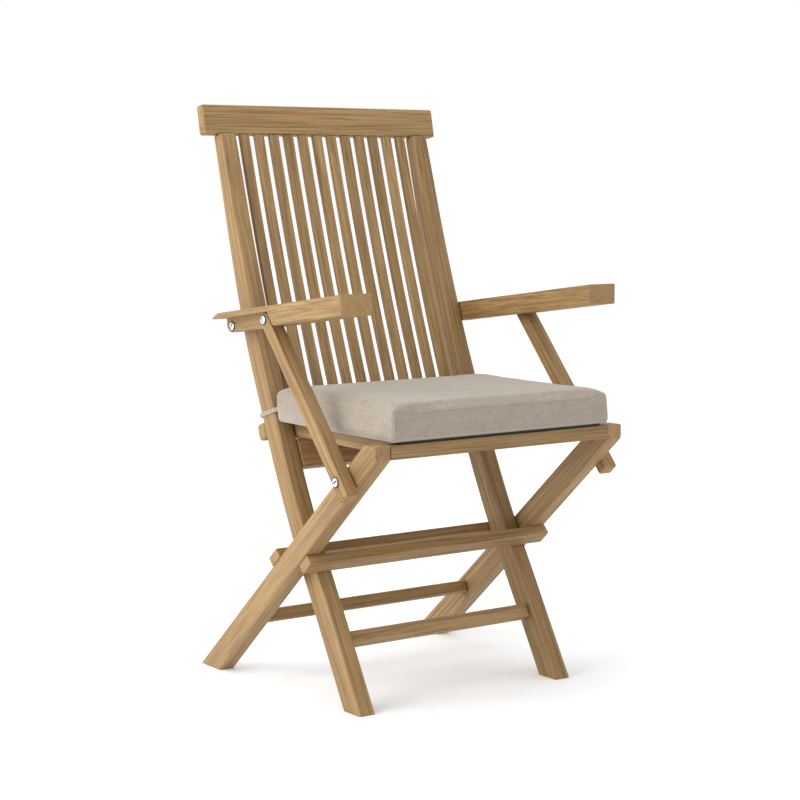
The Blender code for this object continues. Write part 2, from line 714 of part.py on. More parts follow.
    def cushion_tie(self, side, name):
        """A flat strap that runs round the stile from the cushion's rear corner."""
        clear = TIE_CLEAR
        inner = STILE_INNER - clear
        outer = STILE_OUTER + clear
        slope = np.gradient(self.stile_line([TIE_Z - 0.01, TIE_Z + 0.01]), 0.02)[0]
        y_mid = float(self.stile_line([TIE_Z])[0])
        lean = math.atan(slope)
        half = (STILE_DEPTH / 2) / math.cos(lean - TIE_LEAN) + clear + 0.0012
        t = TIE_THICK
        inner_x = min(inner, outer) - (inner + outer) / 2
        outer_x = max(inner, outer) - (inner + outer) / 2
        front = -half + 0.0060
        outline = [
            (inner_x - t, front),
            (inner_x, front),
            (inner_x, half),
            (outer_x, half),
            (outer_x, front),
            (outer_x + t, front),
            (outer_x + t, half + t),
            (inner_x - t, half + t),
        ]
        obj = solid_from_outline(name, outline, TIE_WIDTH, self.parts)
        add_bevel(obj, 0.0005, 1)
        obj.rotation_euler = (-TIE_LEAN, 0.0, 0.0)
        obj.location = (side * (STILE_INNER + STILE_OUTER) / 2, y_mid, TIE_Z)
        give_material(obj, LINEN, 0.9)
        return obj

    def build(self):
        sides = ((-1, "left"), (1, "right"))
        for side, word in sides:
            self.stile(side, f"stile_{word}")
            self.leg(side, f"leg_{word}")
            self.seat_side_rail(side, f"seat_side_rail_{word}")
            self.armrest(side, f"armrest_{word}")
            self.arm_support(side, f"arm_support_{word}")
            self.pin(f"fold_pin_{word}", FOLD_AXIS, STILE_OUTER + SWING_GAP / 2, PIN_RADIUS, side)
            self.pin(f"seat_pin_{word}", SEAT_AXIS, LEG_INNER, SEAT_PIN_RADIUS, side)
            reach = LEG_OUTER - STILE_OUTER + PIN_BITE
            self.bolt(f"arm_rear_bolt_{word}", ARM_AXIS, LEG_OUTER, reach, side)
            reach = SUPPORT_OUTER - LEG_OUTER + PIN_BITE
            self.bolt(f"arm_front_bolt_{word}", SUPPORT_AXIS, SUPPORT_OUTER, reach, side)
            reach = SUPPORT_THICK - 0.0030
            self.bolt(f"support_foot_bolt_{word}", LOWER_AXIS, SUPPORT_OUTER, reach, side)
            self.cushion_tie(side, f"cushion_tie_{word}")
        self.top_rail()
        self.back_slats()
        self.base_rail()
        self.seat_rest_rail()
        self.between_stiles(
            "front_stretcher", FRONT_STRETCHER_MID, FRONT_STRETCHER_HEIGHT,
            FRONT_STRETCHER_THICK, FRONT_STRETCHER_LEAN, 0.0038,
        )
        self.cross_rails()
        self.rear_stretcher()
        self.front_seat_rail()
        self.seat_battens()
        self.seat_slats()
        self.cushion()


clear_scene()
Chair().build()
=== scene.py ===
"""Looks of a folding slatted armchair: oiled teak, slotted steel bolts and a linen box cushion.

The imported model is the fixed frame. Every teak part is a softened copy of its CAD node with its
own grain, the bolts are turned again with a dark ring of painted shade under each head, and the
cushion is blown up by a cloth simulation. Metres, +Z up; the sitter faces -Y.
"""

from __future__ import annotations

import json
import logging
import math
from dataclasses import dataclass, field
from enum import Enum
from typing import Any, Iterable, Sequence

import bmesh
import bpy
import numpy as np
from mathutils import Matrix, Vector
from mathutils.bvhtree import BVHTree

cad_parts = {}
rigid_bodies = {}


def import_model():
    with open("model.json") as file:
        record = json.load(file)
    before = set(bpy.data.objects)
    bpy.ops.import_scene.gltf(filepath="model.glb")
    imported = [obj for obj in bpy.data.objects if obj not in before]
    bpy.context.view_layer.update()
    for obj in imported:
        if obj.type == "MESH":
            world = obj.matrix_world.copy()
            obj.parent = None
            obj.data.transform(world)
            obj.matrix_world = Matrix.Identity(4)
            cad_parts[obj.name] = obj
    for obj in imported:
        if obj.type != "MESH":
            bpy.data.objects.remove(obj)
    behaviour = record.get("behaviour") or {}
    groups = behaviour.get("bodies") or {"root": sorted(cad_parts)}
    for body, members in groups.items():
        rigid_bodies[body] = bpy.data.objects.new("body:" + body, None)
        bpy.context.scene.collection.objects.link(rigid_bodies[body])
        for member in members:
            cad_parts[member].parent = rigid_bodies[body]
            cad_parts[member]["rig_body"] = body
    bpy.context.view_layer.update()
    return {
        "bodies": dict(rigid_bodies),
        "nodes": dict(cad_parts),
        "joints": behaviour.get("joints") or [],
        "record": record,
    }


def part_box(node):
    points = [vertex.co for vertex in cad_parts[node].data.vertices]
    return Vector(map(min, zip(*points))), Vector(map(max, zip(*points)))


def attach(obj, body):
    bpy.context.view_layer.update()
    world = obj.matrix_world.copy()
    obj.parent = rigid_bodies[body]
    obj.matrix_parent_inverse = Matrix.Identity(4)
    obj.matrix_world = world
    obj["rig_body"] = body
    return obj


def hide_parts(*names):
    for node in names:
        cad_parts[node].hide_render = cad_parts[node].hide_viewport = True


LOG = logging.getLogger("armchair")

Colour = tuple[float, float, float]


class Side(Enum):
    """The two sides of the chair and the sign of X there."""

    LEFT = -1
    RIGHT = 1

    @property
    def word(self) -> str:
        """The side's name as the CAD nodes spell it."""
        return self.name.lower()


class Run(Enum):
    """How the grain runs through a timber."""

    STRAIGHT = "straight"
    SWEPT = "swept"


# ---- shader helpers --------------------------------------------------------


class Signal:
    """A shader socket that Python arithmetic can be written on."""

    def __init__(self, shader: Shader, socket: bpy.types.NodeSocket) -> None:
        """Wraps a socket.

        Args:
            shader: The material that the socket belongs to.
            socket: An output socket with a number on it.
        """
        self.shader = shader
        self.socket = socket

    def _math(self, operation: str, *values: Any) -> Signal:
        """Adds a Math node and returns its result."""
        settings = {"operation": operation}
        node = self.shader.node("ShaderNodeMath", settings, dict(enumerate(values)))
        return Signal(self.shader, node.outputs[0])

    def __add__(self, other: Any) -> Signal:
        """Sum."""
        return self._math("ADD", self, other)

    __radd__ = __add__

    def __sub__(self, other: Any) -> Signal:
        """Difference."""
        return self._math("SUBTRACT", self, other)

    def __rsub__(self, other: Any) -> Signal:
        """Difference from a number."""
        return self._math("SUBTRACT", other, self)

    def __mul__(self, other: Any) -> Signal:
        """Product."""
        return self._math("MULTIPLY", self, other)

    __rmul__ = __mul__

    def __truediv__(self, other: Any) -> Signal:
        """Quotient."""
        return self._math("DIVIDE", self, other)

    def __pow__(self, other: Any) -> Signal:
        """Power."""
        return self._math("POWER", self, other)

    def root(self) -> Signal:
        """Square root."""
        return self._math("SQRT", self)

    def fraction(self) -> Signal:
        """What is left after the whole number is taken off."""
        return self._math("FRACT", self)

    def wave(self) -> Signal:
        """Sine, from -1 to 1."""
        return self._math("SINE", self)

    def size(self) -> Signal:
        """Absolute value."""
        return self._math("ABSOLUTE", self)

    def step(self, low: float, high: float) -> Signal:
        """A smooth step from 0 at low to 1 at high.

        Args:
            low: Where the step starts.
            high: Where it ends.

        Returns:
            The stepped signal.
        """
        settings = {"interpolation_type": "SMOOTHSTEP"}
        values = {"Value": self, "From Min": low, "From Max": high}
        node = self.shader.node("ShaderNodeMapRange", settings, values)
        return Signal(self.shader, node.outputs["Result"])


class Shader:
    """Builds the node tree of one material around its Principled BSDF."""

    def __init__(self, name: str) -> None:
        """Makes an empty material.

        Args:
            name: The material's name.
        """
        self.material = bpy.data.materials.new(name)
        self.material.use_nodes = True
        self.tree = self.material.node_tree
        self.surface = self.tree.nodes["Principled BSDF"]

    def node(
        self, kind: str, settings: dict[str, Any] | None = None, values: dict | None = None
    ) -> bpy.types.Node:
        """Adds one node.

        Args:
            kind: The node's type.
            settings: Its properties, set before its sockets are used.
            values: Numbers, colours, sockets or signals by socket name or index.

        Returns:
            The node.
        """
        made = self.tree.nodes.new(kind)
        for key, value in (settings or {}).items():
            setattr(made, key, value)
        for key, value in (values or {}).items():
            self.feed(made.inputs[key], value)
        return made

    def feed(self, socket: bpy.types.NodeSocket, value: Any) -> None:
        """Sets a socket to a constant or links it.

        Args:
            socket: The input socket.
            value: A number, a colour, a socket or a signal.
        """
        if isinstance(value, Signal):
            value = value.socket
        if isinstance(value, bpy.types.NodeSocket):
            self.tree.links.new(value, socket)
            return
        if socket.type == "RGBA" and len(value) == 3:
            value = (*value, 1.0)
        socket.default_value = value

    def coordinates(self, matrix: Matrix | None = None) -> bpy.types.NodeSocket:
        """Object coordinates, turned into a piece's own frame.

        Args:
            matrix: Takes the row frame to the piece's frame; None keeps the row frame.

        Returns:
            A vector socket.
        """
        source = self.node("ShaderNodeTexCoord").outputs["Object"]
        if matrix is None:
            return source
        values = {
            "Vector": source,
            "Location": tuple(matrix.to_translation()),
            "Rotation": tuple(matrix.to_euler("XYZ")),
        }
        settings = {"vector_type": "POINT"}
        return self.node("ShaderNodeMapping", settings, values).outputs[0]

    def stretch(
        self, vector: bpy.types.NodeSocket, scale: Sequence[float], shift: Sequence[float]
    ) -> bpy.types.NodeSocket:
        """Scales and shifts a vector.

        Args:
            vector: The vector socket.
            scale: Three factors.
            shift: Three lengths added after scaling.

        Returns:
            A vector socket.
        """
        settings = {"operation": "MULTIPLY_ADD"}
        values = {0: vector, 1: tuple(scale), 2: tuple(shift)}
        return self.node("ShaderNodeVectorMath", settings, values).outputs[0]

    def split(self, vector: bpy.types.NodeSocket) -> tuple[Signal, Signal, Signal]:
        """The three parts of a vector.

        Args:
            vector: The vector socket.

        Returns:
            Its x, y and z as signals.
        """
        node = self.node("ShaderNodeSeparateXYZ", None, {0: vector})
        return tuple(Signal(self, node.outputs[i]) for i in range(3))

    def join(self, x: Any, y: Any, z: Any) -> bpy.types.NodeSocket:
        """A vector from three numbers or signals.

        Args:
            x: Its first part.
            y: Its second part.
            z: Its third part.

        Returns:
            A vector socket.
        """
        return self.node("ShaderNodeCombineXYZ", None, {0: x, 1: y, 2: z}).outputs[0]

    def noise(
        self, vector: bpy.types.NodeSocket, scale: float, detail: float = 2.0, rough: float = 0.5
    ) -> Signal:
        """Smooth noise around 0.5.

        Args:
            vector: Where it is read.
            scale: Features in one unit of the vector.
            detail: Octaves.
            rough: How strong the finer octaves are.

        Returns:
            The noise as a signal.
        """
        values = {"Vector": vector, "Scale": scale, "Detail": detail, "Roughness": rough}
        return Signal(self, self.node("ShaderNodeTexNoise", None, values).outputs[0])

    def mix(self, share: Any, first: Any, second: Any, blend: str = "MIX") -> bpy.types.NodeSocket:
        """Mixes two colours.

        Args:
            share: How much of the second colour, from 0 to 1.
            first: A colour or a colour socket.
            second: A colour or a colour socket.
            blend: The blend type.

        Returns:
            A colour socket.
        """
        settings = {"data_type": "RGBA", "blend_type": blend, "clamp_factor": True}
        node = self.node("ShaderNodeMix", settings)
        for index, value in ((0, share), (6, first), (7, second)):
            self.feed(node.inputs[index], value)
        return node.outputs[2]

    def bump(self, height: Signal, depth: float, strength: float) -> None:
        """Roughens the surface normal.

        Args:
            height: Height from 0 to 1.
            depth: What 1 stands for, in metres.
            strength: How much of it shows, from 0 to 1.
        """
        values = {"Strength": strength, "Distance": depth, "Height": height}
        node = self.node("ShaderNodeBump", None, values)
        self.feed(self.surface.inputs["Normal"], node.outputs[0])

    def finish(self, **values: Any) -> bpy.types.Material:
        """Sets the Principled BSDF's sockets, with _ for a space in a name.

        Args:
            **values: Numbers, colours, sockets or signals by socket name.

        Returns:
            The material.
        """
        for key, value in values.items():
            socket = key.replace("_", " ").title().replace("Ior", "IOR")
            self.feed(self.surface.inputs[socket], value)
        return self.material


# ---- mesh helpers ----------------------------------------------------------


def deselect_all() -> None:
    for obj in bpy.context.view_layer.objects:
        obj.select_set(False)


def activate(obj: bpy.types.Object) -> None:
    """Makes an object the only selected one and the active one."""
    deselect_all()
    obj.select_set(True)
    bpy.context.view_layer.objects.active = obj


def added(name: str) -> bpy.types.Object:
    """Names the primitive that was just added, and its mesh.

    Args:
        name: The new name.

    Returns:
        The object.
    """
    obj = bpy.context.object
    obj.name = name
    obj.data.name = name
    return obj


def edit(obj: bpy.types.Object, mode: str = "FACE") -> None:
    """Enters edit mode with nothing selected.

    Args:
        obj: The mesh object.
        mode: VERT, EDGE or FACE.
    """
    activate(obj)
    bpy.ops.object.mode_set(mode="EDIT")
    bpy.ops.mesh.select_mode(type=mode)
    bpy.ops.mesh.select_all(action="DESELECT")


def leave_edit() -> None:
    """Goes back to object mode."""
    bpy.ops.object.mode_set(mode="OBJECT")


def pick_faces(obj: bpy.types.Object, direction: Vector, closeness: float = 0.999) -> None:
    """Selects the faces that look in a direction, in edit mode.

    Args:
        obj: The object in edit mode.
        direction: A unit vector.
        closeness: Lowest cosine that counts.
    """
    work = bmesh.from_edit_mesh(obj.data)
    for face in work.faces:
        face.select_set(face.normal.dot(direction) > closeness)
    bmesh.update_edit_mesh(obj.data)


def apply_modifiers(obj: bpy.types.Object) -> None:
    """Applies the modifiers of an object in their order."""
    activate(obj)
    for modifier in list(obj.modifiers):
        bpy.ops.object.modifier_apply(modifier=modifier.name)


def place(obj: bpy.types.Object, matrix: Matrix) -> None:
    """Moves a mesh to its place in the row frame, leaving its object at the origin."""
    obj.data.transform(matrix @ obj.matrix_world)
    obj.matrix_world = Matrix.Identity(4)
    obj.data.update()


def smooth(obj: bpy.types.Object, degrees: float) -> None:
    """Smooth shading across edges that turn less than this."""
    activate(obj)
    bpy.ops.object.shade_smooth_by_angle(angle=math.radians(degrees))


def dress(obj: bpy.types.Object, material: bpy.types.Material) -> None:
    """Gives an object this material and no other."""
    obj.data.materials.clear()
    obj.data.materials.append(material)


def side_matrix(axis: Vector, side: Side) -> Matrix:
    """Takes +Z to the outward side direction and the origin to a point.

    Args:
        axis: The point.
        side: Which side is outward.

    Returns:
        A placing matrix.
    """
    turn = Matrix.Rotation(side.value * math.pi / 2, 4, "Y")
    return Matrix.Translation(axis) @ turn


def main_axes(points: np.ndarray) -> tuple[np.ndarray, np.ndarray]:
    """The middle of a cloud of points and its three main directions.

    Args:
        points: An array of n points.

    Returns:
        The middle, and the directions as rows, the longest first.
    """
    middle = (points.min(0) + points.max(0)) / 2
    spread = points - points.mean(0)
    axes = np.linalg.svd(spread, full_matrices=False)[2]
    if np.linalg.det(axes) < 0:
        axes[2] = -axes[2]
    return middle, axes


def vertices_of(obj: bpy.types.Object) -> np.ndarray:
    """The vertex places of a mesh object as an array."""
    found = np.empty(len(obj.data.vertices) * 3)
    obj.data.vertices.foreach_get("co", found)
    return found.reshape(-1, 3)


# ---- finishes --------------------------------------------------------------


@dataclass(frozen=True)
class Teak:
    """Oiled teak: straight fine grain, growth lines, pores and slow changes of tone."""

    pale: Colour = (0.388, 0.243, 0.098)
    warm: Colour = (0.252, 0.145, 0.047)
    dark: Colour = (0.115, 0.058, 0.018)
    red: Colour = (0.225, 0.102, 0.034)
    bleached: Colour = (0.45, 0.32, 0.19)
    line_pitch: float = 0.0042
    gloss: float = 0.47

    def grain_space(
        self, shader: Shader, points: np.ndarray, run: Run
    ) -> tuple[bpy.types.NodeSocket, Vector]:
        """Coordinates whose z runs along the timber.

        Args:
            shader: The material.
            points: The timber's vertices.
            run: Whether the timber is straight or swept.

        Returns:
            The vector socket, and the timber's length direction.
        """
        middle, axes = main_axes(points)
        if run is Run.SWEPT:
            axes = np.array([[0.0, 0.0, 1.0], [1.0, 0.0, 0.0], [0.0, 1.0, 0.0]])
        rows = np.array([axes[1], axes[2], axes[0]])
        turn = Matrix(rows.tolist()).to_4x4()
        matrix = turn @ Matrix.Translation(Vector((-middle).tolist()))
        vector = shader.coordinates(matrix)
        along = Vector(axes[0].tolist())
        if run is Run.STRAIGHT:
            return vector, along
        local = points - middle
        sweep = np.polyfit(local[:, 2], local[:, 1], 4)
        x, y, z = shader.split(vector)
        bend: Any = float(sweep[0])
        for term in sweep[1:]:
            bend = z * bend + float(term)
        return shader.join(x, y - bend, z), along

    def make(self, name: str, points: np.ndarray, run: Run, seed: int) -> bpy.types.Material:
        """Makes the material of one timber.

        Args:
            name: The timber's name.
            points: Its vertices in the row frame.
            run: How its grain runs.
            seed: Picks its tone and its place in the log.

        Returns:
            The material.
        """
        chance = np.random.default_rng(seed)
        shader = Shader(f"teak_{name}")
        grain, along = self.grain_space(shader, points, run)
        facing = shader.node("ShaderNodeTexCoord").outputs["Normal"]
        towards = shader.node(
            "ShaderNodeVectorMath", {"operation": "DOT_PRODUCT"}, {0: facing, 1: along}
        )
        end = Signal(shader, towards.outputs["Value"]).size().step(0.70, 0.95)
        side = 1.0 - 0.85 * end
        drift = chance.uniform(-9.0, 9.0, 3)
        heart = chance.uniform(-1.0, 1.0) * math.pi
        reach = chance.uniform(0.030, 0.075)
        x, y, z = shader.split(grain)
        slow = shader.noise(shader.stretch(grain, (16.0, 16.0, 1.5), drift), 1.0, 2.0)
        waver = shader.noise(shader.stretch(grain, (75.0, 75.0, 5.0), drift), 1.0, 1.0)
        off_x = x - reach * math.cos(heart)
        off_y = y - reach * math.sin(heart)
        radius = (off_x * off_x + off_y * off_y).root()
        radius = radius + slow * 0.030 + waver * 0.0040 + z * chance.uniform(-0.02, 0.02)
        ring = (radius / (self.line_pitch * chance.uniform(0.8, 2.0))).fraction()
        line = ring.step(0.30, 0.93) * (1.0 - ring.step(0.95, 1.0)) * waver.step(0.35, 0.70)
        band = shader.noise(shader.stretch(grain, (64.0, 64.0, 1.2), drift[::-1]), 1.0, 3.0, 0.6)
        streak = shader.noise(shader.stretch(grain, (170.0, 170.0, 2.4), drift), 1.0, 4.0, 0.62)
        thread = shader.noise(shader.stretch(grain, (260.0, 260.0, 7.0), drift), 1.0, 3.0, 0.6)
        fibre = shader.noise(shader.stretch(grain, (900.0, 900.0, 14.0), drift), 1.0, 3.0, 0.6)
        pore = shader.noise(shader.stretch(grain, (1500.0, 1500.0, 55.0), drift), 1.0, 1.0)
        pores = pore.step(0.60, 0.72)
        board = shader.noise(shader.stretch(grain, (9.0, 9.0, 0.9), drift[::-1]), 1.0, 1.0)
        tone = chance.uniform(-0.10, 0.10)
        wood = shader.mix(0.5 * end + (1.0 - end) * streak.step(0.34, 0.66), self.warm, self.pale)
        wood = shader.mix(board.step(0.35, 0.75) * 0.35, wood, self.warm)
        wood = shader.mix(band.step(0.52, 0.74) * chance.uniform(0.25, 0.55), wood, self.dark)
        wood = shader.mix(line * (0.22 + 0.25 * slow), wood, self.dark)
        wood = shader.mix(thread.step(0.46, 0.72) * 0.70 * side, wood, self.dark)
        wood = shader.mix(slow.step(0.50, 0.80) * chance.uniform(0.05, 0.30), wood, self.red)
        wood = shader.mix(fibre.step(0.48, 0.80) * 0.42, wood, self.dark)
        wood = shader.mix(pores * 0.40, wood, self.dark)
        shade = (0.0, 0.0, 0.0) if tone < 0 else self.bleached
        wood = shader.mix(abs(tone), wood, shade)
        height = fibre * 0.6 + streak * 0.3 - pores * 0.5 - line * 0.15
        shader.bump(height, 0.00022, 0.55)
        rough = self.gloss + 0.10 * fibre + 0.10 * pores
        return shader.finish(
            base_color=wood, roughness=rough, specular_ior_level=0.42
        )


@dataclass(frozen=True)
class Steel:
    """Turned stainless steel with fine circular tool marks."""

    colour: Colour = (0.86, 0.86, 0.85)
    shine: float = 0.20

    def make(self, name: str, axis: Vector) -> bpy.types.Material:
        """Makes the material of one turned piece.

        Args:
            name: The piece's name.
            axis: A point on its axis, which runs along X.

        Returns:
            The material.
        """
        shader = Shader(f"steel_{name}")
        x, y, z = shader.split(shader.coordinates(Matrix.Translation(-axis)))
        radius = (y * y + z * z).root()
        marks = shader.noise(shader.join(radius * 5200.0, x * 900.0, 0.0), 1.0, 2.0)
        smear = shader.noise(shader.coordinates(Matrix.Translation(-axis)), 260.0, 2.0)
        shader.bump(marks, 0.00003, 0.5)
        rough = self.shine + 0.12 * marks + 0.10 * smear
        return shader.finish(base_color=self.colour, metallic=1.0, roughness=rough)


@dataclass(frozen=True)
class Flecked:
    """A dull finish with fine flecks of a second colour."""

    kind: str
    colour: Colour
    fleck: Colour
    scale: float
    detail: float
    steps: tuple[float, float]
    rough: tuple[float, float]
    raised: tuple[float, float] | None = None

    def make(self, name: str) -> bpy.types.Material:
        """Makes the material of one piece.

        Args:
            name: The piece's name.

        Returns:
            The material.
        """
        shader = Shader(f"{self.kind}_{name}")
        flecks = shader.noise(shader.coordinates(), self.scale, self.detail)
        colour = shader.mix(flecks.step(*self.steps), self.colour, self.fleck)
        if self.raised:
            shader.bump(flecks, *self.raised)
        base, spread = self.rough
        return shader.finish(base_color=colour, roughness=base + spread * flecks)


# Near black with faint flecks: painted shade of the gap round each bolt head.
BOLT_SHADE_PAINT = Flecked(
    "seat", (0.030, 0.024, 0.018), (0.075, 0.055, 0.036), 900.0, 3.0, (0.35, 0.75), (0.55, 0.2)
)
# Near black: painted shadow of the gap under the cushion's front, on the cloth it stands on.
SHADOW_UNDERLAY = Flecked(
    "underlay", (0.012, 0.011, 0.010), (0.022, 0.020, 0.018), 700.0, 1.0, (0.4, 0.7),
    (0.88, 0.08), (0.0003, 0.4),
)
SEAM_THREAD = Flecked(
    "seam", (0.250, 0.208, 0.160), (0.56, 0.51, 0.44), 1800.0, 2.0, (0.3, 0.7),
    (0.88, 0.05), (0.0002, 0.5),
)


@dataclass(frozen=True)
class Linen:
    """Greige outdoor linen: plain weave with slubs, read from the piece's own UV map in metres."""

    warp_colour: Colour = (0.300, 0.253, 0.202)
    weft_colour: Colour = (0.368, 0.320, 0.262)
    slub_colour: Colour = (0.195, 0.158, 0.118)
    pale_thread: Colour = (0.395, 0.350, 0.290)
    pitch: float = 0.00085
    uv_map: str = "weave"

    def make(self, name: str) -> bpy.types.Material:
        """Makes the cloth's material.

        Args:
            name: The piece's name.

        Returns:
            The material.
        """
        shader = Shader(f"linen_{name}")
        cloth = shader.node("ShaderNodeUVMap", {"uv_map": self.uv_map}).outputs[0]
        u, v, _ = shader.split(cloth)
        turn = math.tau / self.pitch
        across = (u * turn).wave() * 0.5 + 0.5
        along = (v * turn).wave() * 0.5 + 0.5
        over = ((u * (turn / 2)).wave() * (v * (turn / 2)).wave()).step(-0.4, 0.4)
        weft_line = shader.stretch(cloth, (42.0, 620.0, 1.0), (3.0, 0.0, 0.0))
        weft_slub = shader.noise(weft_line, 1.0, 3.0)
        warp_line = shader.stretch(cloth, (620.0, 42.0, 1.0), (0.0, 7.0, 0.0))
        warp_slub = shader.noise(warp_line, 1.0, 3.0)
        cloudy = shader.noise(cloth, 26.0, 3.0)
        coarse = shader.noise(shader.stretch(cloth, (90.0, 430.0, 1.0), (5.0, 2.0, 0.0)), 1.0, 2.0)
        upright = shader.noise(shader.stretch(cloth, (430.0, 90.0, 1.0), (1.0, 9.0, 0.0)), 1.0, 2.0)
        colour = shader.mix(over, self.warp_colour, self.weft_colour)
        colour = shader.mix(weft_slub.step(0.50, 0.78) * 0.55, colour, self.slub_colour)
        colour = shader.mix(warp_slub.step(0.50, 0.78) * 0.45, colour, self.slub_colour)
        colour = shader.mix(warp_slub.step(0.30, 0.05) * 0.5, colour, self.pale_thread)
        colour = shader.mix(cloudy.step(0.42, 0.78) * 0.16, colour, self.slub_colour)
        colour = shader.mix(coarse.step(0.48, 0.72) * 0.28, colour, self.slub_colour)
        colour = shader.mix(upright.step(0.48, 0.72) * 0.26, colour, self.slub_colour)
        threads = across * over + along * (1.0 - over)
        height = threads * 0.5 + weft_slub * 0.8 + warp_slub * 0.8
        shader.bump(height, 0.00035, 0.5)
        rough = 0.86 + 0.08 * threads
        return shader.finish(
            base_color=colour, roughness=rough, specular_ior_level=0.25, sheen_weight=0.25,
            sheen_roughness=0.5,
        )


# ---- the chair's pieces ----------------------------------------------------


@dataclass
class Joinery:
    """Every teak timber, as a softened copy of its CAD node."""

    frame: dict[str, Any]
    finish: Teak = field(default_factory=Teak)
    # A redder teak for the rest rail: painted warm bounce light where it sits in shade under the
    # seat.
    reddish: Teak = field(
        default_factory=lambda: Teak(pale=(0.400, 0.215, 0.090), warm=(0.310, 0.150, 0.056))
    )
    weld: float = 0.00001
    soft_angle: float = 42.0

    def timbers(self) -> list[str]:
        """Names of the CAD nodes that are teak."""
        other = ("bolt", "pin", "cushion")
        return [n for n in sorted(self.frame["nodes"]) if not any(w in n for w in other)]

    def timber(self, node: str, seed: int) -> bpy.types.Object:
        """Copies one timber, welds it, rounds its shading and gives it its grain.

        Args:
            node: The CAD node.
            seed: Picks its tone.

        Returns:
            The new piece.
        """
        source = self.frame["nodes"][node]
        piece = bpy.data.objects.new(f"{node}_timber", source.data.copy())
        piece.data.name = piece.name
        bpy.context.scene.collection.objects.link(piece)
        activate(piece)
        bpy.ops.mesh.customdata_custom_splitnormals_clear()
        edit(piece, "VERT")
        bpy.ops.mesh.select_all(action="SELECT")
        bpy.ops.mesh.remove_doubles(threshold=self.weld)
        leave_edit()
        smooth(piece, self.soft_angle)
        weighted = piece.modifiers.new("flat_faces", "WEIGHTED_NORMAL")
        weighted.keep_sharp = True
        weighted.weight = 80
        apply_modifiers(piece)
        run = Run.SWEPT if node.startswith("stile") else Run.STRAIGHT
        # The rest rail gets the redder teak, which is painted warm bounce light.
        finish = self.reddish if node == "seat_rest_rail" else self.finish
        dress(piece, finish.make(node, vertices_of(piece), run, seed))
        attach(piece, source["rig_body"])
        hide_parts(node)
        return piece

    def build(self) -> list[bpy.types.Object]:
        """Builds every timber.

        Returns:
            The pieces.
        """
        return [self.timber(node, 40 + i) for i, node in enumerate(self.timbers())]


